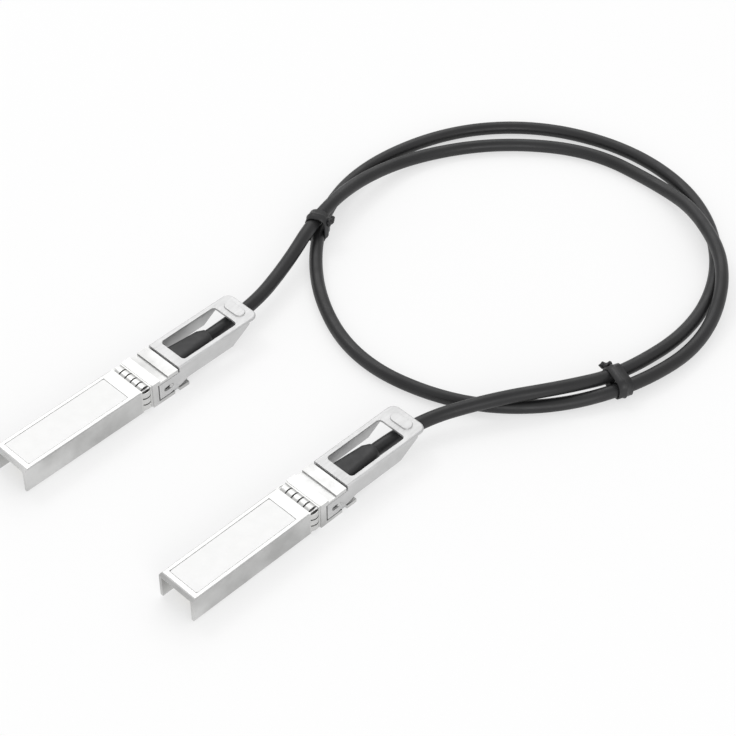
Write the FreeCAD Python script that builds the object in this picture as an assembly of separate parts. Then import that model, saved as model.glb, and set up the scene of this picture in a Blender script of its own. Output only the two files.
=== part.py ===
import FreeCAD, Part
import math
import os

# Direct attach copper cable: a passive twinax lead with a latching small form-factor plug
# on each end. Millimetres, +Z up, +X from a plug's nose towards its cable.
# The origin lies on the floor, midway between the two plugs, which lie side by side
# while the cable makes one loose flat coil of nearly two turns behind them.

V = FreeCAD.Vector

# ---- layout of the whole lead -----------------------------------------------------------
PLUG_SPACING = 68.0      # between the centre lines of the two plugs
PLUG_STAGGER = 2.0       # plug b lies this much further along X than plug a
PLUG_LENGTH = 90.0       # nose to the end of the pull ring

# ---- housing: two die-cast half shells --------------------------------------------------
# Whatever sits at the rear is placed from the stop face, with lengths named ..._BACK
# behind it and ..._AHEAD in front of it.
BODY_WIDTH = 13.55       # the part that enters the cage
BODY_HEIGHT = 8.5
INSERT_LENGTH = 47.5     # nose to the stop face
STOP_STEP = 0.6          # the rear body hangs this far below the inserted part
REAR_WIDER = 0.15        # rear body, outside the cage, against the inserted part
REAR_LENGTH = 13.8
WALL = 1.0
ROOF = 0.9
FLOOR_WALL = 0.8
LATCH_ROOF = 0.7         # wall between the latch's pocket and the wires
WIRES_STEP = 0.2         # the wires' passage is this much lower than the card's space
NOSE_OPEN = 10.4         # the underside is open over this length for the host connector
NOSE_SLOPE_LENGTH = 1.2
NOSE_SLOPE_DROP = 0.5
CAVITY_AHEAD = 6.5       # back wall of the card's space, ahead of the stop face
EDGE_ROUND = 0.35        # rounding along the long outer edges
LABEL_START = 2.6
LABEL_TO_COLLAR = 3.7
LABEL_MARGIN = 1.275     # each side of the label recess
LABEL_DEPTH = 0.2
RIB_LENGTH = 3.0         # raised rib across the cover, behind the stop face
GROOVE_LENGTH = 3.0
GROOVE_DEPTH = 0.9
SHALLOW_DEPTH = 0.35     # between the groove and the pull ring's bar

# ---- cable and the strain relief --------------------------------------------------------
CABLE_DIA = 4.2
AXIS_LIFT = 4.5          # cable axis and shell seam, above the body's underside
FERRULE_DIA = 4.9
FERRULE_WALL = 0.45
FERRULE_BACK = 2.1
FERRULE_LENGTH = 5.4
SEAT_GAP = 0.05          # between the shells and what they clamp
BOOT_NECK_WIDTH = 7.0
BOOT_NECK_HEIGHT = 5.0
BOOT_FLANGE_WIDTH = 9.0
BOOT_FLANGE_LENGTH = 1.8
BOOT_WIDTH = 7.7
BOOT_HEIGHT = 5.8
BOOT_CORNER = 1.7
BOOT_TIP_WIDTH = 6.5
BOOT_TIP_HEIGHT = 5.3
BOOT_TIP_CORNER = 2.2
BOOT_TAPER = 11.7        # length of the sleeve behind the housing
BOOT_LIP = 2.0
BOOT_LIP_DIA = 5.0       # end of the boot, round the cable
NECK_ROUNDING = 0.3      # corner radius over height, in the shells' clamp

# ---- contact spring collar --------------------------------------------------------------
COLLAR_AHEAD = 0.2       # back rim of the collar, ahead of the stop face
COLLAR_LENGTH = 4.1
COLLAR_DEPTH = 0.3       # groove in the shells that holds the collar
COLLAR_METAL = 0.2
COLLAR_RIM = 0.55
FINGER_BULGE = 0.45      # how far a finger stands out of the housing
FINGER_WIDTH = 1.9
FINGER_PITCH = 2.4
FINGERS_ABOVE = (-2, -1, 0, 1, 2)       # places across each face, in pitches
FINGERS_BESIDE = (-1, 0, 1)
FINGERS_BELOW = (-1.95, 1.95)           # each side of the latch

# ---- paddle card ------------------------------------------------------------------------
CARD_SETBACK = 3.2       # card edge behind the nose
CARD_THICKNESS = 1.0
CARD_LIFT = 2.25         # the card's underside above the body's underside
CARD_EDGE_WIDTH = 9.2
CARD_EDGE_BEVEL = 0.5
CARD_SIDE_GAP = 0.175    # between the card and the shell's side walls
CARD_END_GAP = 0.4
CARD_SHOULDER = 12.0     # where the card widens
CONTACT_COUNT = 10       # on each face of the card
CONTACT_PITCH = 0.8
CONTACT_WIDTH = 0.5
CONTACT_LENGTH = 2.8
CONTACT_HEIGHT = 0.05
CONTACT_FIRST = 0.3      # ground and supply contacts start nearer the card's edge
CONTACT_LAST = 0.7
CHIP_AHEAD = 17.2        # the memory's back edge, ahead of the card's end
CHIP_LENGTH = 4.4
CHIP_WIDTH = 3.0
CHIP_HEIGHT = 0.9
CAPACITOR_AHEAD = 11.0
CAPACITOR_LENGTH = 1.6
CAPACITOR_WIDTH = 0.8
CAPACITOR_HEIGHT = 0.6
PAIR_NEAR = 2.0          # the four wires' places across the card
PAIR_FAR = 3.2
WIRE_DIA = 1.1
WIRE_ON_CARD = 6.6       # bare end of each wire, lying on the card
WIRE_STRAIGHT = 5.0
WIRE_LIFT = 0.02         # between a wire and the card
WIRE_SPREAD = 0.08       # between wires where they enter the ferrule

# ---- latch ------------------------------------------------------------------------------
PIVOT_BACK = 3.0
PIVOT_Z = 1.25
PIN_DIA = 1.2
PIN_LENGTH = 8.4
PIN_PLAY = 0.05          # radial, between the pin and the lever
PIN_HOLD = 0.01          # radial, between the pin and the housing
LEVER_WIDTH = 4.6
LEVER_PLAY = 0.3         # between the lever and its pocket, each side
LEVER_METAL = 0.8
LEVER_REAR_METAL = 0.9
LEVER_HUB = 0.95         # radius of the eye round the pin
POCKET_ROOF = 2.3
BOSS_AHEAD = 2.5         # the face that the cage's latch tab bears on
BOSS_LENGTH = 2.1
BOSS_FLAT = 0.9
BOSS_HEIGHT = 0.45
BOSS_SHARE = 0.6         # of the lever's width
LEVER_LIP = 0.5          # lever ahead of the boss
LEVER_END_PLAY = 0.4
WING_BACK = 8.5
WING_LENGTH = 1.0
WING_INSIDE = 0.25       # wing ends inside the rear body's sides
WING_TOP = 1.85
SPRING_METAL = 0.12
SPRING_WIDTH = 3.0
SPRING_LIFT = 0.03       # between the spring's toe and the lever at rest
SPRING_TOE = 0.9

# ---- pull ring --------------------------------------------------------------------------
RING_METAL = 0.8
RING_PLAY = 0.1          # between the ring and the housing, each side
RING_TRAVEL = 2.0
BAR_BACK = 10.5
BAR_LENGTH = 3.2
BAR_GAP = 0.6            # slit ahead of the bar at rest
TONGUE_BACK = 2.5        # front end of the ring's side arms
TONGUE_TOP = 7.2
RAIL_BOTTOM = 3.2
RAIL_FLANGE = 1.7        # the rails turn in at the top, round the opening
WINDOW_CORNER = 1.2
TAB_LENGTH = 7.4         # flat end plate
TAB_CORNER = 2.6
TAB_STRUT = 3.5          # the rails slope up over this length each side of the tab's edge
TAB_LIP = 0.6            # how far the tab's rails hang below it
TAB_PAD_LENGTH = 3.6
TAB_PAD_WIDTH = 7.6
TAB_PAD_HEIGHT = 0.4
LEDGE_TOP = 1.2          # top of the ledge under the ring's side arms
CAM_LOW = 1.45           # underside of the arm that presses the lever down
CAM_HIGH = 2.0           # underside of the arm above the lever at rest
CAM_RAMP = 2.0
STOP_PEG_DIA = 1.4
STOP_PEG_BACK = 7.1
STOP_PEG_DROP = 1.0      # below the cable's axis

# ---- cable ties -------------------------------------------------------------------------
TIE_WIDTH = 4.5
TIE_METAL = 0.6
TIE_GAP = 0.45           # between a tie and the cable
TAIL_LENGTH = 5.0
TAIL_DIA = 1.9
TAIL_LEAN = V(0.97, -0.22, 0.1)

# ---- worked out from the above ----------------------------------------------------------
BODY_BOTTOM = STOP_STEP
BODY_TOP = STOP_STEP + BODY_HEIGHT
REAR_WIDTH = BODY_WIDTH + REAR_WIDER
REAR_END = INSERT_LENGTH + REAR_LENGTH
CABLE_AXIS = BODY_BOTTOM + AXIS_LIFT
CAVITY_HALF = BODY_WIDTH / 2 - WALL
CAVITY_TOP = BODY_TOP - ROOF
CAVITY_FLOOR = BODY_BOTTOM + FLOOR_WALL
CAVITY_END = INSERT_LENGTH - CAVITY_AHEAD
COLLAR_END = INSERT_LENGTH - COLLAR_AHEAD
COLLAR_START = COLLAR_END - COLLAR_LENGTH
LABEL_END = COLLAR_START - LABEL_TO_COLLAR
LABEL_WIDTH = BODY_WIDTH - 2 * LABEL_MARGIN
CARD_UNDER = BODY_BOTTOM + CARD_LIFT
CARD_TOP = CARD_UNDER + CARD_THICKNESS
CARD_WIDTH = 2 * (CAVITY_HALF - CARD_SIDE_GAP)
CARD_END = CAVITY_END - CARD_END_GAP
FERRULE_START = INSERT_LENGTH + FERRULE_BACK
BOOT_TAPER_END = REAR_END + BOOT_TAPER
BOOT_END = BOOT_TAPER_END + BOOT_LIP
PIVOT_X = INSERT_LENGTH + PIVOT_BACK
BOSS_SHOULDER = INSERT_LENGTH - BOSS_AHEAD
LEVER_FRONT = BOSS_SHOULDER - BOSS_LENGTH - LEVER_LIP
POCKET_FRONT = LEVER_FRONT - LEVER_END_PLAY
WING_START = INSERT_LENGTH + WING_BACK
WING_END = WING_START + WING_LENGTH
WING_SPAN = REAR_WIDTH - 2 * WING_INSIDE
BAR_START = INSERT_LENGTH + BAR_BACK
TONGUE_START = INSERT_LENGTH + TONGUE_BACK
STOP_PEG_X = INSERT_LENGTH + STOP_PEG_BACK
STOP_PEG_Z = CABLE_AXIS - STOP_PEG_DROP
ARM_INNER = REAR_WIDTH / 2 - RING_METAL
GROOVE_FACE = ARM_INNER - RING_PLAY
RING_TOP = BODY_TOP
BAR_BOTTOM = RING_TOP - RING_METAL
BAR_SEAT = BAR_BOTTOM - 2 * RING_PLAY
GROOVE_TOP = TONGUE_TOP + 2 * RING_PLAY
WIRES_FLOOR = POCKET_ROOF + LATCH_ROOF
WIRES_ROOF = CAVITY_TOP - WIRES_STEP
BOOT_FLANGE_START = FERRULE_START + FERRULE_LENGTH
BOOT_FLANGE_END = BOOT_FLANGE_START + BOOT_FLANGE_LENGTH
LEVER_BOTTOM = BODY_BOTTOM
BEYOND = 5.0             # how far a cutting block runs past the face that it opens

PLUGS = {
    "a": V(-(PLUG_LENGTH + PLUG_STAGGER) / 2, PLUG_SPACING / 2, 0),
    "b": V(-(PLUG_LENGTH - PLUG_STAGGER) / 2, -PLUG_SPACING / 2, 0),
}

# The cable's route, from plug a round the coil to plug b: a hand-laid cord, so its points
# are chosen and not worked out. Its two ends follow the plugs.
COIL_ROUTE = [
    (67.5, 39.9, 5.9), (86.8, 47.2, 8.2), (110.3, 52.9, 6.1), (137.2, 51.1, 2.1),
    (161.5, 36, 2.1), (179.3, 12.1, 2.1), (181.5, -15, 2.1), (176, -35, 6.1),
    (161.3, -58.5, 7), (136, -71.3, 2.1), (106, -69.8, 3.7), (80.6, -56.4, 2.2),
    (62.2, -34.2, 2.1), (55.1, -2.2, 2.1), (68, 28.5, 2.1), (91.8, 50.9, 3.7),
    (121.2, 59.9, 2.1), (154.5, 52.3, 2.1), (178.3, 31.4, 2.1), (189.6, 0.6, 2.1),
    (184.6, -30.5, 2.1), (164.3, -54.2, 2.1), (137, -65.3, 2.1), (106, -63.3, 3.8),
    (87.6, -57, 6.9), (68.6, -44.9, 6.8),
]
LEAD_OUT_A = 17.5        # straight cable behind each boot
LEAD_OUT_B = 16.0
TIE_PLACES = {"tie_1": (87.0, 46.4, 27.0), "tie_2": (102.5, -64.3, 159.0)}
TIE_REACH = 24.0         # how far around a place its strands are looked for


# ---- building blocks --------------------------------------------------------------------
def block(x0, x1, y0, y1, z0, z1):
    return Part.makeBox(x1 - x0, y1 - y0, z1 - z0, V(x0, y0, z0))


def slab(x0, x1, width, z0, z1):
    return block(x0, x1, -width / 2, width / 2, z0, z1)


def fused(shapes):
    shapes = list(shapes)
    if len(shapes) == 1:
        return shapes[0]
    return shapes[0].fuse(shapes[1:]).removeSplitter()


def side_profile(points, y0, y1):
    """A solid from an outline in X and Z, between two Y planes."""
    corners = [V(x, y0, z) for x, z in points]
    face = Part.Face(Part.makePolygon(corners + corners[:1]))
    return face.extrude(V(0, y1 - y0, 0))


def rounded_ring(x, width, height, radius, centre_z):
    """A rounded rectangle in a plane across X."""
    y, z, r = width / 2, height / 2, radius
    edges = []
    corners = [(1, 1), (-1, 1), (-1, -1), (1, -1)]
    for index, (side, lift) in enumerate(corners):
        cy, cz = side * (y - r), centre_z + lift * (z - r)
        start = math.radians(90 * index)
        arc = [V(x, cy + r * math.cos(a), cz + r * math.sin(a))
               for a in (start, start + math.pi / 4, start + math.pi / 2)]
        if edges:
            edges.append(Part.LineSegment(edges[-1].EndPoint, arc[0]))
        edges.append(Part.Arc(*arc))
    edges.append(Part.LineSegment(edges[-1].EndPoint, edges[0].StartPoint))
    return Part.Wire([e.toShape() for e in edges])


def rounded_bar(x0, x1, width, height, radius, centre_z):
    face = Part.Face(rounded_ring(x0, width, height, radius, centre_z))
    return face.extrude(V(x1 - x0, 0, 0))


def arc_route(points, share=0.45):
    """Straight runs joined by tangent arcs, each as large as its two runs allow."""
    radii = []
    edges = []
    start = points[0]
    for before, corner, after in zip(points, points[1:], points[2:]):
        back = (before - corner).normalize()
        on = (after - corner).normalize()
        turn = math.pi - back.getAngle(on)
        reach = share * min((before - corner).Length, (after - corner).Length)
        radius = reach / math.tan(turn / 2)
        enter = corner + back * reach
        leave = corner + on * reach
        inward = (back + on).normalize()
        middle = corner + inward * (radius / math.cos(turn / 2) - radius)
        edges.append(Part.LineSegment(start, enter).toShape())
        edges.append(Part.Arc(enter, middle, leave).toShape())
        start = leave
        radii.append(round(radius, 1))
    edges.append(Part.LineSegment(start, points[-1]).toShape())
    return Part.Wire(edges), radii


def tube(points, diameter):
    wire, radii = arc_route(points)
    along = (points[1] - points[0]).normalize()
    rim = Part.Wire([Part.Circle(points[0], along, diameter / 2).toShape()])
    return wire.makePipeShell([rim], True, False), wire, radii


# ---- the housing ------------------------------------------------------------------------
def housing_block():
    front = slab(0, INSERT_LENGTH, BODY_WIDTH, BODY_BOTTOM, BODY_TOP)
    rear = slab(INSERT_LENGTH, REAR_END, REAR_WIDTH, 0, BODY_TOP)
    return front, rear


def long_edges(shape, half_width, top, bottom):
    found = []
    for edge in shape.Edges:
        a, b = edge.Vertexes[0].Point, edge.Vertexes[-1].Point
        along = abs(a.y - b.y) < 0.01 and abs(a.z - b.z) < 0.01
        at_side = abs(abs(a.y) - half_width) < 0.01
        at_face = min(abs(a.z - top), abs(a.z - bottom)) < 0.01
        if along and at_side and at_face:
            found.append(edge)
    return found


def cable_seat():
    """The space that the crimp ferrule and the boot's root take up inside the shells."""
    bore = Part.makeCylinder(FERRULE_DIA / 2 + SEAT_GAP, FERRULE_LENGTH + SEAT_GAP,
                             V(FERRULE_START - SEAT_GAP, 0, CABLE_AXIS), V(1, 0, 0))
    flange = slab(BOOT_FLANGE_START, BOOT_FLANGE_END, BOOT_FLANGE_WIDTH + 2 * SEAT_GAP,
                  CABLE_AXIS - BOOT_NECK_HEIGHT / 2, CABLE_AXIS + BOOT_NECK_HEIGHT / 2)
    neck = rounded_bar(BOOT_FLANGE_END, REAR_END + BEYOND, BOOT_NECK_WIDTH, BOOT_NECK_HEIGHT,
                       BOOT_NECK_HEIGHT * NECK_ROUNDING, CABLE_AXIS)
    wires = slab(CAVITY_END - WALL, FERRULE_START, BOOT_FLANGE_WIDTH, WIRES_FLOOR, WIRES_ROOF)
    return [bore, flange, neck, wires]


def ring_grooves():
    """Side channels that the pull ring's arms slide in, and its seat across the top."""
    cuts = []
    for side in (-1, 1):
        near, far = sorted((side * GROOVE_FACE, side * (REAR_WIDTH / 2 + BEYOND)))
        cuts.append(block(TONGUE_START - 4 * RING_PLAY, BAR_START - BAR_GAP, near, far,
                          LEDGE_TOP, GROOVE_TOP))
        cuts.append(block(BAR_START - BAR_GAP, REAR_END + BEYOND, near, far,
                          LEDGE_TOP, BODY_TOP + BEYOND))
    cuts.append(slab(BAR_START - BAR_GAP, REAR_END + BEYOND, REAR_WIDTH + BEYOND,
                     BAR_SEAT, BODY_TOP + BEYOND))
    return cuts


def collar_groove():
    outer = slab(COLLAR_START, COLLAR_END, BODY_WIDTH + BEYOND,
                 BODY_BOTTOM - BEYOND, BODY_TOP + BEYOND)
    core = slab(COLLAR_START, COLLAR_END, BODY_WIDTH - 2 * COLLAR_DEPTH,
                BODY_BOTTOM + COLLAR_DEPTH, BODY_TOP - COLLAR_DEPTH)
    return outer.cut(core)


def base_shell():
    front, rear = housing_block()
    front = front.makeFillet(EDGE_ROUND, long_edges(front, BODY_WIDTH / 2, BODY_TOP,
                                                    BODY_BOTTOM))
    body = front.fuse(rear)
    above = slab(-BEYOND, REAR_END + BEYOND, 2 * REAR_WIDTH, CABLE_AXIS, BODY_TOP + BEYOND)
    cavity = slab(-BEYOND, CAVITY_END, 2 * CAVITY_HALF, CAVITY_FLOOR, BODY_TOP)
    mouth = slab(-BEYOND, NOSE_OPEN, 2 * CAVITY_HALF, -BEYOND, BODY_TOP)
    lever_half = LEVER_WIDTH / 2 + LEVER_PLAY
    pocket_end = WING_END + 2 * LEVER_PLAY
    pocket = slab(POCKET_FRONT, pocket_end, 2 * lever_half, -BEYOND, POCKET_ROOF)
    wing_slot = slab(WING_START - LEVER_PLAY, pocket_end, 2 * REAR_WIDTH, -BEYOND,
                     POCKET_ROOF)
    pin_hole = Part.makeCylinder(PIN_DIA / 2 + PIN_HOLD, PIN_LENGTH,
                                 V(PIVOT_X, -PIN_LENGTH / 2, PIVOT_Z), V(0, 1, 0))
    cuts = [above, cavity, mouth, pocket, wing_slot, pin_hole, collar_groove()]
    shell = body.cut(cuts + cable_seat() + ring_grooves())
    extras = []
    for side in (-1, 1):
        near, far = sorted((side * CARD_EDGE_WIDTH / 2, side * CAVITY_HALF))
        extras.append(block(CARD_SHOULDER, CARD_END, near, far, CAVITY_FLOOR, CARD_UNDER))
        peg = Part.makeCylinder(STOP_PEG_DIA / 2, RING_METAL, V(STOP_PEG_X, 0, STOP_PEG_Z),
                                V(0, side, 0))
        peg.translate(V(0, side * GROOVE_FACE, 0))
        extras.append(peg)
    return fused([shell] + extras)


def cover_shell():
    front, rear = housing_block()
    front = front.makeFillet(EDGE_ROUND, long_edges(front, BODY_WIDTH / 2, BODY_TOP,
                                                    BODY_BOTTOM))
    body = front.fuse(rear)
    below = slab(-BEYOND, REAR_END + BEYOND, 2 * REAR_WIDTH, -BEYOND, CABLE_AXIS)
    cavity = slab(-BEYOND, CAVITY_END, 2 * CAVITY_HALF, 0, CAVITY_TOP)
    label = slab(LABEL_START, LABEL_END, LABEL_WIDTH, BODY_TOP - LABEL_DEPTH,
                 BODY_TOP + BEYOND)
    nose_slope = side_profile([(0, BODY_TOP - NOSE_SLOPE_DROP), (0, BODY_TOP + BEYOND),
                               (NOSE_SLOPE_LENGTH, BODY_TOP + BEYOND),
                               (NOSE_SLOPE_LENGTH, BODY_TOP)], -REAR_WIDTH, REAR_WIDTH)
    rib_end = INSERT_LENGTH + RIB_LENGTH
    groove_end = rib_end + GROOVE_LENGTH
    deep = slab(rib_end, groove_end, 2 * REAR_WIDTH, BODY_TOP - GROOVE_DEPTH,
                BODY_TOP + BEYOND)
    shallow = slab(groove_end, BAR_START, 2 * REAR_WIDTH, BODY_TOP - SHALLOW_DEPTH,
                   BODY_TOP + BEYOND)
    cuts = [below, cavity, label, nose_slope, deep, shallow, collar_groove()]
    return body.cut(cuts + cable_seat() + ring_grooves()).removeSplitter()


# ---- contact spring collar --------------------------------------------------------------
def spring_finger():
    """One bulging finger on a face whose outward side is +Z, centred on X, Y = 0."""
    x0 = COLLAR_START + COLLAR_RIM
    x1 = COLLAR_END - COLLAR_RIM
    rise = COLLAR_DEPTH - COLLAR_METAL + FINGER_BULGE
    middle = (x0 + x1) / 2
    y = -FINGER_WIDTH / 2
    outer = Part.Arc(V(x0, y, COLLAR_METAL), V(middle, y, COLLAR_METAL + rise),
                     V(x1, y, COLLAR_METAL))
    inner = Part.Arc(V(x1, y, 0), V(middle, y, rise), V(x0, y, 0))
    front = Part.LineSegment(inner.EndPoint, outer.StartPoint)
    back = Part.LineSegment(outer.EndPoint, inner.StartPoint)
    wire = Part.Wire([e.toShape() for e in (outer, back, inner, front)])
    return Part.Face(wire).extrude(V(0, FINGER_WIDTH, 0))


def emi_collar():
    half = BODY_WIDTH / 2 - COLLAR_DEPTH
    low = BODY_BOTTOM + COLLAR_DEPTH
    high = BODY_TOP - COLLAR_DEPTH
    lever_half = LEVER_WIDTH / 2 + LEVER_PLAY
    pieces = []
    for x in (COLLAR_START, COLLAR_END - COLLAR_RIM):
        outer = slab(x, x + COLLAR_RIM, 2 * (half + COLLAR_METAL), low - COLLAR_METAL,
                     high + COLLAR_METAL)
        inner = slab(x, x + COLLAR_RIM, 2 * half, low, high)
        gap = slab(x, x + COLLAR_RIM, 2 * lever_half, low - BEYOND, low + BEYOND / 2)
        pieces.append(outer.cut([inner, gap]))
    middle_z = (low + high) / 2
    seats = [(0, V(0, k * FINGER_PITCH, high)) for k in FINGERS_ABOVE]
    seats += [(180, V(0, k * FINGER_PITCH, low)) for k in FINGERS_BELOW]
    for side, turn in ((-1, 90), (1, -90)):
        seats += [(turn, V(0, side * half, middle_z + k * FINGER_PITCH))
                  for k in FINGERS_BESIDE]
    for turn, seat in seats:
        finger = spring_finger()
        finger.rotate(V(0, 0, 0), V(1, 0, 0), turn)
        finger.translate(seat)
        pieces.append(finger)
    return fused(pieces)


# ---- what the housing holds -------------------------------------------------------------
def paddle_card():
    edge, wide, bevel = CARD_EDGE_WIDTH / 2, CARD_WIDTH / 2, CARD_EDGE_BEVEL
    half = [(CARD_SETBACK, edge - bevel), (CARD_SETBACK + bevel, edge), (CARD_SHOULDER, edge),
            (CARD_SHOULDER, wide), (CARD_END, wide)]
    outline = half + [(x, -y) for x, y in reversed(half)]
    corners = [V(x, y, CARD_UNDER) for x, y in outline]
    return Part.Face(Part.makePolygon(corners + corners[:1])).extrude(V(0, 0, CARD_THICKNESS))


def edge_contacts():
    pads = []
    for index in range(CONTACT_COUNT):
        y = (index - (CONTACT_COUNT - 1) / 2) * CONTACT_PITCH
        x0 = CARD_SETBACK + (CONTACT_FIRST if index % 3 == 0 else CONTACT_LAST)
        x1 = CARD_SETBACK + CONTACT_LAST + CONTACT_LENGTH
        for z in (CARD_TOP, CARD_UNDER - CONTACT_HEIGHT):
            pads.append(block(x0, x1, y - CONTACT_WIDTH / 2, y + CONTACT_WIDTH / 2,
                              z, z + CONTACT_HEIGHT))
    return Part.makeCompound(pads)


def card_components():
    """The identity memory and the four coupling capacitors."""
    chip_end = CARD_END - CHIP_AHEAD
    parts = [slab(chip_end - CHIP_LENGTH, chip_end, CHIP_WIDTH, CARD_TOP,
                  CARD_TOP + CHIP_HEIGHT)]
    x1 = CARD_END - CAPACITOR_AHEAD
    for y in (-PAIR_FAR, -PAIR_NEAR, PAIR_NEAR, PAIR_FAR):
        parts.append(block(x1 - CAPACITOR_LENGTH, x1, y - CAPACITOR_WIDTH / 2,
                           y + CAPACITOR_WIDTH / 2, CARD_TOP, CARD_TOP + CAPACITOR_HEIGHT))
    return Part.makeCompound(parts)


def twinax_wires():
    wires = []
    height = CARD_TOP + WIRE_DIA / 2 + WIRE_LIFT
    spread = WIRE_DIA / 2 + WIRE_SPREAD
    x0 = CARD_END - WIRE_ON_CARD
    for side in (-1, 1):
        for place, lift in ((PAIR_NEAR, -1), (PAIR_FAR, 1)):
            end_y, end_z = side * spread, CABLE_AXIS + lift * spread
            points = [V(x0, side * place, height), V(x0 + WIRE_STRAIGHT, side * place, height),
                      V(FERRULE_START - WIRE_DIA, end_y, end_z),
                      V(BOOT_FLANGE_START, end_y, end_z)]
            wires.append(tube(points, WIRE_DIA)[0])
    return Part.makeCompound(wires)


def crimp_ferrule():
    start, along = V(FERRULE_START, 0, CABLE_AXIS), V(1, 0, 0)
    outer = Part.makeCylinder(FERRULE_DIA / 2, FERRULE_LENGTH, start, along)
    inner = Part.makeCylinder(FERRULE_DIA / 2 - FERRULE_WALL, FERRULE_LENGTH, start, along)
    return outer.cut(inner)


def boot():
    gap = SEAT_GAP
    height = BOOT_NECK_HEIGHT - 2 * gap
    sleeve_start = REAR_END + 2 * gap
    flange = rounded_bar(BOOT_FLANGE_START, BOOT_FLANGE_END - gap, BOOT_FLANGE_WIDTH, height,
                         BOOT_NECK_HEIGHT * NECK_ROUNDING / 5, CABLE_AXIS)
    neck = rounded_bar(BOOT_FLANGE_START + gap, sleeve_start, BOOT_NECK_WIDTH - 2 * gap,
                       height, BOOT_NECK_HEIGHT * NECK_ROUNDING, CABLE_AXIS)
    root = rounded_ring(sleeve_start, BOOT_WIDTH, BOOT_HEIGHT, BOOT_CORNER, CABLE_AXIS)
    tip = rounded_ring(BOOT_TAPER_END, BOOT_TIP_WIDTH, BOOT_TIP_HEIGHT, BOOT_TIP_CORNER,
                       CABLE_AXIS)
    end = rounded_ring(BOOT_END, BOOT_LIP_DIA, BOOT_LIP_DIA, BOOT_LIP_DIA * 0.49, CABLE_AXIS)
    sleeve = Part.makeLoft([root, tip], True, True)
    lip = Part.makeLoft([tip, end], True, True)
    return fused([flange, neck, sleeve, lip])


# ---- the latch and the pull ring --------------------------------------------------------
def latch_lever():
    half = LEVER_WIDTH / 2
    top = LEVER_BOTTOM + LEVER_METAL
    tip = BODY_BOTTOM - BOSS_HEIGHT
    boss_start = BOSS_SHOULDER - BOSS_LENGTH
    middle = LEVER_BOTTOM + LEVER_METAL / 2
    under = WING_TOP - LEVER_REAR_METAL
    front_arm = slab(LEVER_FRONT, PIVOT_X, LEVER_WIDTH, LEVER_BOTTOM, top)
    boss = side_profile([(boss_start, middle), (boss_start, LEVER_BOTTOM),
                         (BOSS_SHOULDER - BOSS_FLAT, tip), (BOSS_SHOULDER, tip),
                         (BOSS_SHOULDER, middle)], -half * BOSS_SHARE, half * BOSS_SHARE)
    hub = Part.makeCylinder(LEVER_HUB, LEVER_WIDTH, V(PIVOT_X, -half, PIVOT_Z), V(0, 1, 0))
    rear_arm = slab(PIVOT_X, WING_END, LEVER_WIDTH, under, WING_TOP)
    wings = slab(WING_START, WING_END, WING_SPAN, under, WING_TOP)
    hole = Part.makeCylinder(PIN_DIA / 2 + PIN_PLAY, 2 * LEVER_WIDTH,
                             V(PIVOT_X, -LEVER_WIDTH, PIVOT_Z), V(0, 1, 0))
    return fused([front_arm, boss, hub, rear_arm, wings]).cut(hole)


def latch_pin():
    length = PIN_LENGTH - 2 * PIN_PLAY
    return Part.makeCylinder(PIN_DIA / 2, length, V(PIVOT_X, -length / 2, PIVOT_Z),
                             V(0, 1, 0))


def latch_spring():
    """A bent leaf: its flat end lies on the pocket's roof, its toe presses the front arm."""
    touch = LEVER_BOTTOM + LEVER_METAL + SPRING_LIFT
    root = PIVOT_X - LEVER_HUB - PIN_DIA / 2
    heel = LEVER_FRONT + 2 * SPRING_TOE
    bend = root - (root - heel) / 2.25
    top = [(root, POCKET_ROOF), (bend, POCKET_ROOF), (heel, touch + SPRING_METAL),
           (heel - SPRING_TOE, touch + 2.5 * SPRING_METAL)]
    under = [(x, z - SPRING_METAL) for x, z in reversed(top)]
    return side_profile(top + under, -SPRING_WIDTH / 2, SPRING_WIDTH / 2)


def ring_arm(side):
    """One side arm: a tongue with the latch cam in front, a rail behind."""
    cam_start = WING_START - CAM_RAMP
    tab_start = PLUG_LENGTH - TAB_LENGTH
    outline = [
        (TONGUE_START, CAM_LOW), (cam_start, CAM_LOW), (WING_START, CAM_HIGH),
        (BAR_START, CAM_HIGH), (BAR_START + BAR_LENGTH, RAIL_BOTTOM),
        (tab_start - TAB_STRUT, RAIL_BOTTOM), (tab_start + TAB_STRUT, BAR_BOTTOM - TAB_LIP),
        (tab_start + TAB_STRUT, RING_TOP), (BAR_START, RING_TOP), (BAR_START, TONGUE_TOP),
        (TONGUE_START, TONGUE_TOP),
    ]
    y0, y1 = sorted((side * ARM_INNER, side * REAR_WIDTH / 2))
    arm = side_profile(outline, y0, y1)
    reach = STOP_PEG_DIA / 2 + RING_PLAY
    slot = block(STOP_PEG_X - RING_TRAVEL, STOP_PEG_X, y0, y1, STOP_PEG_Z - reach,
                 STOP_PEG_Z + reach)
    ends = [Part.makeCylinder(reach, RING_METAL, V(x, y0, STOP_PEG_Z), V(0, 1, 0))
            for x in (STOP_PEG_X - RING_TRAVEL, STOP_PEG_X)]
    return arm.cut([slot] + ends)


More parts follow.
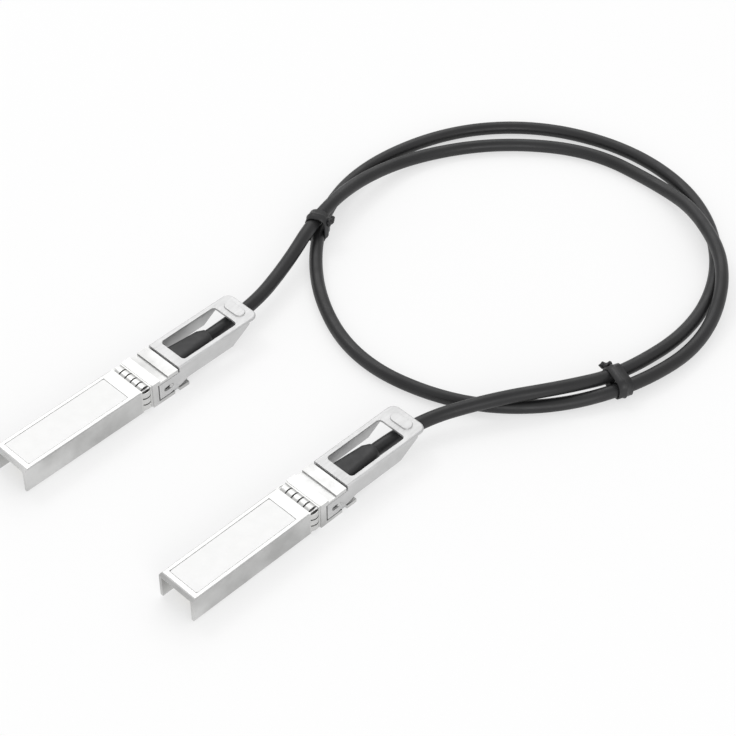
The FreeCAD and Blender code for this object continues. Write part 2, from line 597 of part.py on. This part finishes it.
def pull_ring():
    half = REAR_WIDTH / 2
    x0, x1, r = PLUG_LENGTH - TAB_LENGTH, PLUG_LENGTH, TAB_CORNER
    frame = slab(BAR_START, x0, REAR_WIDTH, BAR_BOTTOM, RING_TOP)
    window = slab(BAR_START + BAR_LENGTH, x0, REAR_WIDTH - 2 * RAIL_FLANGE,
                  BAR_BOTTOM, RING_TOP)
    window = window.makeFillet(WINDOW_CORNER, [e for e in window.Edges
                                               if e.BoundBox.ZLength > RING_METAL / 2])
    diagonal = r * (1 - math.sqrt(0.5))
    z = BAR_BOTTOM
    edges = [
        Part.LineSegment(V(x1 - r, -half, z), V(x0, -half, z)),
        Part.LineSegment(V(x0, -half, z), V(x0, half, z)),
        Part.LineSegment(V(x0, half, z), V(x1 - r, half, z)),
        Part.Arc(V(x1 - r, half, z), V(x1 - diagonal, half - diagonal, z), V(x1, half - r, z)),
        Part.LineSegment(V(x1, half - r, z), V(x1, r - half, z)),
        Part.Arc(V(x1, r - half, z), V(x1 - diagonal, diagonal - half, z),
                 V(x1 - r, -half, z)),
    ]
    tab = Part.Face(Part.Wire([e.toShape() for e in edges])).extrude(V(0, 0, RING_METAL))
    ring = fused([ring_arm(-1), ring_arm(1), frame.cut(window), tab])
    bends = [e for e in long_edges(ring, half, RING_TOP, RING_TOP)
             if e.BoundBox.XMax > BAR_START + BAR_LENGTH]
    ring = ring.makeFillet(RING_METAL * 0.7, bends)
    pad_x = (x0 + x1) / 2
    spread = (TAB_PAD_WIDTH - TAB_PAD_LENGTH) / 2
    pad = fused([Part.makeCylinder(TAB_PAD_LENGTH / 2, TAB_PAD_HEIGHT,
                                   V(pad_x, side * spread, RING_TOP)) for side in (-1, 1)]
                + [block(pad_x - TAB_PAD_LENGTH / 2, pad_x + TAB_PAD_LENGTH / 2,
                         -spread, spread, RING_TOP, RING_TOP + TAB_PAD_HEIGHT)])
    rim = [e for e in pad.Edges if e.BoundBox.ZMin > RING_TOP + TAB_PAD_HEIGHT / 2]
    return ring.fuse(pad.makeFillet(TAB_PAD_HEIGHT * 0.6, rim)).removeSplitter()


# ---- the cable and its two ties ---------------------------------------------------------
def cable_points():
    a, b = PLUGS["a"], PLUGS["b"]
    start = a + V(BOOT_END, 0, CABLE_AXIS)
    end = b + V(BOOT_END, 0, CABLE_AXIS)
    coil = [V(*point) for point in COIL_ROUTE]
    return ([start, start + V(LEAD_OUT_A, 0, 0)] + coil
            + [end + V(LEAD_OUT_B, 0, 0), end])


def stadium(width, height, corner, length):
    """A rounded bar along X with its section centred on the axis."""
    return rounded_bar(-length / 2, length / 2, width, height, corner, 0)


def tie(centre, heading, wide, tall):
    """A coated wire tie: a flat band round both strands, and its twisted ends."""
    inner_w, inner_h = wide + 2 * TIE_GAP, tall + 2 * TIE_GAP
    corner = CABLE_DIA / 2
    band = stadium(inner_w + 2 * TIE_METAL, inner_h + 2 * TIE_METAL, corner + TIE_METAL,
                   TIE_WIDTH)
    band = band.cut(stadium(inner_w, inner_h, corner, TIE_WIDTH * 2))
    root = V(0, -inner_w / 2 - TAIL_DIA / 2, inner_h / 4)
    tail = Part.makeCylinder(TAIL_DIA / 2, TAIL_LENGTH, root, TAIL_LEAN)
    whole = band.fuse(tail).removeSplitter()
    whole.rotate(V(0, 0, 0), V(0, 0, 1), heading)
    whole.translate(centre)
    return whole


def strands_at(wire, x, y, heading):
    """The middle, spread across and spread in height of the strands that pass a place."""
    window = Part.makePlane(TIE_REACH, TIE_REACH, V(-TIE_REACH / 2, -TIE_REACH / 2, 0))
    window.rotate(V(0, 0, 0), V(0, 1, 0), 90)
    window.rotate(V(0, 0, 0), V(0, 0, 1), heading)
    window.translate(V(x, y, 0))
    points = [v.Point for v in wire.section(window).Vertexes]
    middle = sum(points[1:], points[0]) / len(points)
    lean = math.radians(heading)
    across = [p.y * math.cos(lean) - p.x * math.sin(lean) for p in points]
    heights = [p.z for p in points]
    return middle, max(across) - min(across), max(heights) - min(heights)


def ties(wire):
    made = {}
    for name, (x, y, heading) in TIE_PLACES.items():
        middle, across, height = strands_at(wire, x, y, heading)
        made[name] = tie(middle, heading, CABLE_DIA + across, CABLE_DIA + height)
    return made


PLUG_PARTS = {
    "base_shell": base_shell,
    "cover_shell": cover_shell,
    "emi_collar": emi_collar,
    "paddle_card": paddle_card,
    "edge_contacts": edge_contacts,
    "card_components": card_components,
    "twinax_wires": twinax_wires,
    "crimp_ferrule": crimp_ferrule,
    "boot": boot,
    "pull_ring": pull_ring,
    "latch_lever": latch_lever,
    "latch_pin": latch_pin,
    "latch_spring": latch_spring,
}


def build():
    os.makedirs("parts", exist_ok=True)
    for name, make in PLUG_PARTS.items():
        master = make()
        for plug, place in PLUGS.items():
            copy = master.copy()
            copy.translate(place)
            copy.exportStep(f"parts/{name}_{plug}.step")
    cable, wire, radii = tube(cable_points(), CABLE_DIA)
    cable.exportStep("parts/cable.step")
    for name, shape in ties(wire).items():
        shape.exportStep(f"parts/{name}.step")
    section = math.pi * CABLE_DIA ** 2 / 4
    print("cable length", round(wire.Length, 1), "bend radii", radii)
    print("volume over section times length", round(cable.Volume / (section * wire.Length), 4))


build()
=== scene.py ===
import bpy
import bmesh
import math
from mathutils import Matrix, Vector


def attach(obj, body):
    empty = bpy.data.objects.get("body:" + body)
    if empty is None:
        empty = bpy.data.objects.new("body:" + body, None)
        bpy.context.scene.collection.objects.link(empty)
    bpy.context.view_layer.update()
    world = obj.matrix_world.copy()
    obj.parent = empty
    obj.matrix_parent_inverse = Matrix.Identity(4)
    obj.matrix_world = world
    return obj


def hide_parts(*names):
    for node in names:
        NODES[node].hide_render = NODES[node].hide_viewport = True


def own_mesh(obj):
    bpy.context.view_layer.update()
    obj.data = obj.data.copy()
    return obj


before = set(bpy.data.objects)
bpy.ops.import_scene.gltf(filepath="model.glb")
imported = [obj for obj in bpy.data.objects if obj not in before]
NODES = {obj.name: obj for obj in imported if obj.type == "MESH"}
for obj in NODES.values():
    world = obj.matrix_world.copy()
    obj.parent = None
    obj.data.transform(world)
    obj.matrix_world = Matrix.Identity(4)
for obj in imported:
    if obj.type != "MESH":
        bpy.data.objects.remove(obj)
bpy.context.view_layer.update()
PLUGS = ("a", "b")
MM = 0.001

scene = bpy.context.scene
scene.view_settings.view_transform = "Standard"


# ---- camera -----------------------------------------------------------------------------
CAMERA_PLACE = (-0.277, -0.338, 0.4715)
CAMERA_TARGET = (0.0573, -0.00565, 0)
CAMERA_LENS = 109.3          # mm, on a 36 mm sensor


def aim(thing, place, target):
    """Puts a camera or lamp at a place, looking at a target."""
    thing.location = place
    thing.rotation_euler = (Vector(target) - Vector(place)).to_track_quat("-Z", "Y").to_euler()


def make_camera():
    data = bpy.data.cameras.new("camera")
    data.lens = CAMERA_LENS
    data.sensor_width = 36
    data.clip_start, data.clip_end = 0.01, 50
    camera = bpy.data.objects.new("camera", data)
    scene.collection.objects.link(camera)
    aim(camera, CAMERA_PLACE, CAMERA_TARGET)
    scene.camera = camera


make_camera()


# ---- helpers ----------------------------------------------------------------------------
def link(name, data):
    """A new piece that rides on the lead, the body of both plugs and the cable."""
    piece = bpy.data.objects.new(name, data)
    scene.collection.objects.link(piece)
    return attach(piece, "lead")


def from_bmesh(name, bm, smooth):
    mesh = bpy.data.meshes.new(name)
    bm.normal_update()
    bm.to_mesh(mesh)
    bm.free()
    for face in mesh.polygons:
        face.use_smooth = smooth
    return link(name, mesh)


# ---- the cable --------------------------------------------------------------------------
CABLE_DIA = 4.2 * MM
ROUTE = [                    # mm, control points from plug a's boot to plug b's
    (29, 34, 5.1), (46.5, 34, 5.1), (67.5, 39.9, 5.9), (86.8, 47.2, 8.2),
    (110.3, 52.9, 6.1), (137.2, 51.1, 2.1), (161.5, 36, 2.1), (179.3, 12.1, 2.1),
    (181.5, -15, 2.1), (176, -35, 6.1), (161.3, -58.5, 7), (136, -71.3, 2.1),
    (106, -69.8, 3.7), (80.6, -56.4, 2.2), (62.2, -34.2, 2.1), (55.1, -2.2, 2.1),
    (68, 28.5, 2.1), (91.8, 50.9, 3.7), (121.2, 59.9, 2.1), (154.5, 52.3, 2.1),
    (178.3, 31.4, 2.1), (189.6, 0.6, 2.1), (184.6, -30.5, 2.1), (164.3, -54.2, 2.1),
    (137, -65.3, 2.1), (106, -63.3, 3.8), (87.6, -57, 6.9), (68.6, -44.9, 6.8),
    (47, -34, 5.1), (31, -34, 5.1),
]


def route_curve(name, depth):
    curve = bpy.data.curves.new(name, "CURVE")
    curve.dimensions = "3D"
    curve.resolution_u = 16
    spline = curve.splines.new("NURBS")
    spline.points.add(len(ROUTE) - 1)
    for point, (x, y, z) in zip(spline.points, ROUTE):
        point.co = (x * MM, y * MM, z * MM, 1)
    spline.order_u = 3
    spline.use_endpoint_u = True
    curve.bevel_depth = depth
    curve.bevel_resolution = 6
    return curve


def route_line():
    """Points along the cable's own spline."""
    bare = bpy.data.objects.new("bare", route_curve("bare", 0))
    scene.collection.objects.link(bare)
    mesh = bpy.data.meshes.new_from_object(bare)
    points = [v.co.copy() for v in mesh.vertices]
    bpy.data.objects.remove(bare)
    bpy.data.meshes.remove(mesh)
    return points


def cable_tube():
    """The bevelled spline as a mesh, so that its box is the cable's own."""
    tube = bpy.data.objects.new("tube", route_curve("tube", CABLE_DIA / 2))
    tube.data.use_fill_caps = True
    scene.collection.objects.link(tube)
    mesh = bpy.data.meshes.new_from_object(tube)
    bpy.data.objects.remove(tube)
    for face in mesh.polygons:
        face.use_smooth = len(face.vertices) == 4
    return mesh


cable = link("cable_jacket", cable_tube())
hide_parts("cable")
LINE = route_line()


# ---- the two wire ties ------------------------------------------------------------------
TIES = {"tie_1": (87, 46.4, 27), "tie_2": (102.5, -64.3, 159)}    # mm, mm, degrees
TIE_REACH = 12 * MM          # strands within this of a tie's place run through it
TIE_GAP = 0.25 * MM          # between the strands and the strip
TIE_HALF = 2.25 * MM         # half the width of the strip
TIE_METAL = 0.45 * MM
TIE_RIB = 0.35 * MM          # the wire inside lifts the middle of the strip
TAIL_LENGTH = 4 * MM
TAIL_TURNS = 1.8             # half turns
TAIL_STEPS, TAIL_SIDES = 32, 12
TAIL_WIDE, TAIL_THIN = 1.15 * MM, 0.7 * MM
TAIL_LEAN = Vector((0.97, -0.22, 0.1)).normalized()
# the strip's section: along the cable, and out from it
STRIP = [(-TIE_HALF, 0), (TIE_HALF, 0), (TIE_HALF, TIE_METAL), (TIE_RIB * 1.5, TIE_METAL),
         (TIE_RIB * 0.7, TIE_METAL + TIE_RIB * 0.7), (0, TIE_METAL + TIE_RIB),
         (-TIE_RIB * 0.7, TIE_METAL + TIE_RIB * 0.7), (-TIE_RIB * 1.5, TIE_METAL),
         (-TIE_HALF, TIE_METAL)]


def strands_at(x, y, turn):
    """Where the cable's line passes a place, square to a heading."""
    place, along = Vector((x * MM, y * MM, 0)), turn @ Vector((1, 0, 0))
    found = []
    for here, there in zip(LINE, LINE[1:]):
        before, after = (here - place) @ along, (there - place) @ along
        near = (here.xy - place.xy).length < TIE_REACH
        if near and before * after <= 0:
            found.append(here.lerp(there, before / (before - after)))
    return found


def rounded_outline(wide, tall, corner, steps=8):
    """Points and outward directions round a rectangle with round corners."""
    outline = []
    for index in range(4):
        for step in range(steps + 1):
            angle = (index + step / steps) * math.pi / 2
            out = Vector((math.cos(angle), math.sin(angle)))
            side = Vector((1 if index in (0, 3) else -1, 1 if index < 2 else -1))
            middle = Vector((side.x * (wide / 2 - corner), side.y * (tall / 2 - corner)))
            outline.append((middle + out * corner, out))
    return outline


def skin(bm, rings, closed):
    """Quads between rings of points, with caps where the run is open."""
    made = [[bm.verts.new(point) for point in ring] for ring in rings]
    pairs = list(zip(made, made[1:])) + ([(made[-1], made[0])] if closed else [])
    for ring, after in pairs:
        for index in range(len(ring)):
            follow = (index + 1) % len(ring)
            bm.faces.new((ring[index], ring[follow], after[follow], after[index]))
    if not closed:
        bm.faces.new(made[0])
        bm.faces.new(made[-1])


def wire_tie(name, x, y, heading):
    """A ribbed strip closed round the strands, with its twisted ends as one short tail."""
    turn = Matrix.Rotation(math.radians(heading), 3, "Z")
    strands = strands_at(x, y, turn)
    middle = sum(strands, Vector()) / len(strands)
    local = [turn.inverted() @ (point - middle) for point in strands]
    wide = CABLE_DIA + 2 * TIE_GAP + max(p.y for p in local) - min(p.y for p in local)
    tall = CABLE_DIA + 2 * TIE_GAP + max(p.z for p in local) - min(p.z for p in local)
    bm = bmesh.new()
    rings = []
    for point, out in rounded_outline(wide, tall, CABLE_DIA / 2 + TIE_GAP):
        rings.append([middle + turn @ Vector((along, point.x + out.x * lift,
                                              point.y + out.y * lift))
                      for along, lift in STRIP])
    skin(bm, rings, True)
    root = Vector((-TIE_HALF * 0.4, -wide / 2 - TAIL_THIN, tall / 4))
    across = TAIL_LEAN.cross(Vector((0, 0, 1))).normalized()
    up = across.cross(TAIL_LEAN)
    rings = []
    for step in range(TAIL_STEPS + 1):
        share = step / TAIL_STEPS
        spin = share * TAIL_TURNS * math.pi
        taper = min(1.0, 0.35 + 3 * (1 - share))
        centre = root + TAIL_LEAN * TAIL_LENGTH * share
        ring = []
        for part in range(TAIL_SIDES):
            angle = part * 2 * math.pi / TAIL_SIDES
            flat = Vector((math.cos(angle) * TAIL_WIDE, math.sin(angle) * TAIL_THIN)) * taper
            flat.rotate(Matrix.Rotation(spin, 2))
            ring.append(middle + turn @ (centre + across * flat.x + up * flat.y))
        rings.append(ring)
    skin(bm, rings, False)
    bmesh.ops.recalc_face_normals(bm, faces=bm.faces)
    piece = from_bmesh(name + "_wire", bm, smooth=True)
    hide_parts(name)
    return piece


tie_pieces = [wire_tie(name, *place) for name, place in TIES.items()]


# ---- a blank label in the recess on each plug -------------------------------------------
PLUG_PLACE = {"a": (-46 * MM, 34 * MM), "b": (-44 * MM, -34 * MM)}    # nose, centre line
BODY_TOP = 9.1 * MM
LABEL_START, LABEL_END = 2.75 * MM, 39.35 * MM
LABEL_WIDE = 10.7 * MM
LABEL_CORNER = 0.7 * MM
LABEL_BED, LABEL_FILM = 0.2 * MM, 0.14 * MM    # depth of the recess, thickness of the film


def blank_label(plug):
    x, y = PLUG_PLACE[plug]
    middle = Vector((x + (LABEL_START + LABEL_END) / 2, y, BODY_TOP - LABEL_BED))
    outline = rounded_outline(LABEL_END - LABEL_START, LABEL_WIDE, LABEL_CORNER)
    bm = bmesh.new()
    skin(bm, [[middle + Vector((*point, height)) for point, out in outline]
              for height in (0, LABEL_FILM)], False)
    bmesh.ops.recalc_face_normals(bm, faces=bm.faces)
    return from_bmesh("blank_label_" + plug, bm, smooth=False)


labels = [blank_label(plug) for plug in PLUGS]


# ---- lights, floor and world ------------------------------------------------------------
def area_light(name, place, target, size, power):
    data = bpy.data.lights.new(name, "AREA")
    data.shape = "DISK"
    data.size = size
    data.energy = power
    lamp = bpy.data.objects.new(name, data)
    scene.collection.objects.link(lamp)
    lamp.visible_camera = False
    aim(lamp, place, target)


area_light("softbox", (1.07, 1.0, 1.414), (0.07, 0, 0), 1.7, 8.2)
area_light("key", (0.1, 1.05, 1.35), (0.07, 0, 0), 0.5, 3.0)
area_light("fill", (-0.6, -1.1, 0.6), (0.0, 0, 0), 0.9, 5.5)


WORLD_LEVEL = 0.74
FLOOR_HALF = 2.0
FLOOR_DROP = 0.02 * MM       # keeps the floor clear of the pieces that lie on it
FLOOR_GLOW = 0.6             # share of the floor's own white where it is seen


def make_world(level):
    world = bpy.data.worlds.new("world")
    scene.world = world
    world.use_nodes = True
    back = world.node_tree.nodes["Background"]
    back.inputs["Color"].default_value = (1, 1, 1, 1)
    back.inputs["Strength"].default_value = level


make_world(WORLD_LEVEL)


def make_floor():
    bm = bmesh.new()
    bmesh.ops.create_grid(bm, x_segments=2, y_segments=2, size=FLOOR_HALF)
    mesh = bpy.data.meshes.new("floor")
    bm.to_mesh(mesh)
    bm.free()
    floor = bpy.data.objects.new("floor", mesh)
    scene.collection.objects.link(floor)
    floor.location = (0.07, 0, -FLOOR_DROP)
    return floor


floor = make_floor()


# ---- materials --------------------------------------------------------------------------
def material(name, colour, rough, metallic=0.0):
    mat = bpy.data.materials.new(name)
    mat.use_nodes = True
    shader = mat.node_tree.nodes["Principled BSDF"]
    shader.inputs["Base Color"].default_value = (*colour, 1)
    shader.inputs["Roughness"].default_value = rough
    shader.inputs["Metallic"].default_value = metallic
    return mat, mat.node_tree, shader


def coords(tree, scale):
    where = tree.nodes.new("ShaderNodeTexCoord")
    place = tree.nodes.new("ShaderNodeMapping")
    place.inputs["Scale"].default_value = scale
    tree.links.new(where.outputs["Object"], place.inputs["Vector"])
    return place.outputs[0]


def noise(tree, scale, detail, stretch=(1, 1, 1)):
    node = tree.nodes.new("ShaderNodeTexNoise")
    node.inputs["Scale"].default_value = scale
    node.inputs["Detail"].default_value = detail
    tree.links.new(coords(tree, stretch), node.inputs["Vector"])
    return node.outputs["Fac"]


def ramp(tree, value, low, high, start=0.3, end=0.7):
    node = tree.nodes.new("ShaderNodeValToRGB")
    a, b = node.color_ramp.elements
    a.position, b.position = start, end
    a.color, b.color = (*low, 1), (*high, 1)
    tree.links.new(value, node.inputs["Fac"])
    return node.outputs["Color"]


def spread(tree, value, low, high):
    node = tree.nodes.new("ShaderNodeMapRange")
    node.inputs["From Min"].default_value = 0.3
    node.inputs["From Max"].default_value = 0.7
    node.inputs["To Min"].default_value = low
    node.inputs["To Max"].default_value = high
    tree.links.new(value, node.inputs["Value"])
    return node.outputs[0]


def bump(tree, shader, value, strength, depth):
    node = tree.nodes.new("ShaderNodeBump")
    node.inputs["Strength"].default_value = strength
    node.inputs["Distance"].default_value = depth
    tree.links.new(value, node.inputs["Height"])
    tree.links.new(node.outputs[0], shader.inputs["Normal"])


def height_mask(tree, low, high):
    """0 below one height of the part and 1 above the other."""
    where = tree.nodes.new("ShaderNodeTexCoord")
    split = tree.nodes.new("ShaderNodeSeparateXYZ")
    tree.links.new(where.outputs["Object"], split.inputs[0])
    node = tree.nodes.new("ShaderNodeMapRange")
    node.inputs["From Min"].default_value = low
    node.inputs["From Max"].default_value = high
    tree.links.new(split.outputs["Z"], node.inputs["Value"])
    return node.outputs[0]


def mix_colour(tree, share, first, second):
    node = tree.nodes.new("ShaderNodeMix")
    node.data_type = "RGBA"
    tree.links.new(share, node.inputs["Factor"])
    tree.links.new(first, node.inputs["A"])
    tree.links.new(second, node.inputs["B"])
    return node.outputs["Result"]


def cast_metal():
    """Plated casting with a random tone; painted shade darkens the sides and the grooves, and
    painted light makes the top paler.
    """
    mat, tree, shader = material("plated_casting", (0.72, 0.72, 0.71), 0.3, 1.0)
    # sides and grooves: random tone plus painted shade, darker than the top
    random_tone_and_painted_shade = ramp(tree, noise(tree, 60, 4), (0.45, 0.45, 0.445), (0.66, 0.66, 0.655),
                0.35, 0.65)
    # top face: painted light, a paler tone than the sides
    painted_light_top = ramp(tree, noise(tree, 140, 4), (0.62, 0.62, 0.615), (0.67, 0.67, 0.665))
    # 1 on the top face, 0 on the sides and in the grooves, where the shade is painted
    painted_shade_mask = height_mask(tree, BODY_TOP - 0.18 * MM, BODY_TOP - 0.06 * MM)
    tree.links.new(mix_colour(tree, painted_shade_mask, random_tone_and_painted_shade, painted_light_top), shader.inputs["Base Color"])
    tree.links.new(spread(tree, noise(tree, 420, 5), 0.30, 0.44), shader.inputs["Roughness"])
    bump(tree, shader, noise(tree, 2600, 2), 0.25, 0.00004)
    return mat


def sheet_metal(name, colour, rough, along=(0.06, 1, 1)):
    """Rolled sheet, with a fine grain drawn out along one axis."""
    mat, tree, shader = material(name, colour, rough, 1.0)
    low = tuple(c * 0.9 for c in colour)
    tree.links.new(ramp(tree, noise(tree, 180, 4), low, colour), shader.inputs["Base Color"])
    grain = noise(tree, 5200, 3, along)
    tree.links.new(spread(tree, grain, rough - 0.06, rough + 0.08), shader.inputs["Roughness"])
    bump(tree, shader, grain, 0.12, 0.00003)
    return mat


def jacket():
    """Extruded black jacket, a little uneven in tone and gloss."""
    mat, tree, shader = material("cable_jacket", (0.008, 0.008, 0.009), 0.36)
    tree.links.new(ramp(tree, noise(tree, 60, 4), (0.010, 0.010, 0.0105), (0.018, 0.018, 0.019)),
                   shader.inputs["Base Color"])
    tree.links.new(spread(tree, noise(tree, 220, 5), 0.36, 0.50), shader.inputs["Roughness"])
    bump(tree, shader, noise(tree, 1500, 3), 0.2, 0.00005)
    shader.inputs["Specular IOR Level"].default_value = 0.42
    return mat


def moulded(name, colour, rough, grain=1800, height=0.00006):
    mat, tree, shader = material(name, colour, rough)
    low = tuple(c * 0.75 for c in colour)
    tree.links.new(ramp(tree, noise(tree, 150, 4), low, colour), shader.inputs["Base Color"])
    tree.links.new(spread(tree, noise(tree, 600, 4), rough - 0.06, rough + 0.08),
                   shader.inputs["Roughness"])
    bump(tree, shader, noise(tree, grain, 2), 0.3, height)
    return mat


def paper():
    mat, tree, shader = material("label_film", (0.87, 0.87, 0.865), 0.38)
    tree.links.new(ramp(tree, noise(tree, 300, 3), (0.855, 0.855, 0.85), (0.885, 0.885, 0.88)),
                   shader.inputs["Base Color"])
    bump(tree, shader, noise(tree, 1400, 3), 0.12, 0.00003)
    return mat


def floor_paint(glow):
    """White paper that keeps its shadows; seen directly or mirrored it is paler."""
    mat, tree, shader = material("floor", (0.93, 0.93, 0.93), 0.75)
    shader.inputs["Specular IOR Level"].default_value = 0.2
    path = tree.nodes.new("ShaderNodeLightPath")
    seen = path.outputs["Is Camera Ray"]
    for other in ("Is Glossy Ray", "Is Transmission Ray"):
        add = tree.nodes.new("ShaderNodeMath")
        add.operation = "ADD"
        add.use_clamp = True
        tree.links.new(seen, add.inputs[0])
        tree.links.new(path.outputs[other], add.inputs[1])
        seen = add.outputs[0]
    share = tree.nodes.new("ShaderNodeMath")
    share.operation = "MULTIPLY"
    share.inputs[1].default_value = glow
    tree.links.new(seen, share.inputs[0])
    pale = tree.nodes.new("ShaderNodeEmission")
    pale.inputs["Strength"].default_value = 1.0
    mix = tree.nodes.new("ShaderNodeMixShader")
    tree.links.new(share.outputs[0], mix.inputs["Fac"])
    tree.links.new(shader.outputs[0], mix.inputs[1])
    tree.links.new(pale.outputs[0], mix.inputs[2])
    tree.links.new(mix.outputs[0], tree.nodes["Material Output"].inputs["Surface"])
    return mat


CASTING = cast_metal()
RING_STEEL = sheet_metal("ring_steel", (0.66, 0.66, 0.66), 0.55)
LEVER_STEEL = sheet_metal("lever_steel", (0.55, 0.55, 0.56), 0.34)
SPRING = sheet_metal("spring_steel", (0.66, 0.66, 0.65), 0.36, (1, 0.06, 0.06))
JACKET = jacket()
BOOT = moulded("boot_black", (0.020, 0.020, 0.021), 0.50)
TIE = moulded("tie_black", (0.016, 0.016, 0.017), 0.42, 2600, 0.00004)
CHIP = moulded("chip_black", (0.02, 0.02, 0.02), 0.55)
BOARD = moulded("circuit_board", (0.02, 0.10, 0.045), 0.40, 3000, 0.00003)
WIRE = moulded("wire_insulation", (0.55, 0.56, 0.58), 0.35)
GOLD = sheet_metal("gold_plating", (0.90, 0.66, 0.28), 0.22)
BRASS = sheet_metal("ferrule_brass", (0.70, 0.55, 0.30), 0.32)
LABEL = paper()
floor.data.materials.append(floor_paint(FLOOR_GLOW))
cable.data.materials.append(JACKET)
for piece in tie_pieces:
    piece.data.materials.append(TIE)
for piece in labels:
    piece.data.materials.append(LABEL)

CAD_MATERIALS = {
    "base_shell": CASTING, "cover_shell": CASTING, "emi_collar": SPRING,
    "paddle_card": BOARD, "edge_contacts": GOLD, "card_components": CHIP,
    "twinax_wires": WIRE, "crimp_ferrule": BRASS, "boot": BOOT, "pull_ring": RING_STEEL,
    "latch_lever": LEVER_STEEL, "latch_pin": LEVER_STEEL, "latch_spring": SPRING, "tie": TIE,
}
for name, node in NODES.items():
    finish = CAD_MATERIALS.get(name.rsplit("_", 1)[0])
    if finish:
        node.data.materials.clear()
        node.data.materials.append(finish)


# ---- broken edges on the metal pieces and the boots -------------------------------------
EDGE_BREAK = {"base_shell": 0.14, "cover_shell": 0.14, "pull_ring": 0.10,
              "latch_lever": 0.06, "latch_pin": 0.08, "boot": 0.25}    # mm


def break_edges(node, width):
    """Rounds the sharp edges by modifiers; the node's own mesh stays as it is."""
    weld = node.modifiers.new("weld", "WELD")
    weld.merge_threshold = 0.01 * MM
    bevel = node.modifiers.new("broken_edges", "BEVEL")
    bevel.width = width
    bevel.segments = 2
    bevel.limit_method = "ANGLE"
    bevel.angle_limit = math.radians(35)
    bevel.harden_normals = True


for name, node in NODES.items():
    width = EDGE_BREAK.get(name.rsplit("_", 1)[0])
    if width:
        break_edges(node, width * MM)


for plug in PLUGS:
    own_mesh(NODES["latch_spring_" + plug])


bpy.context.view_layer.update()
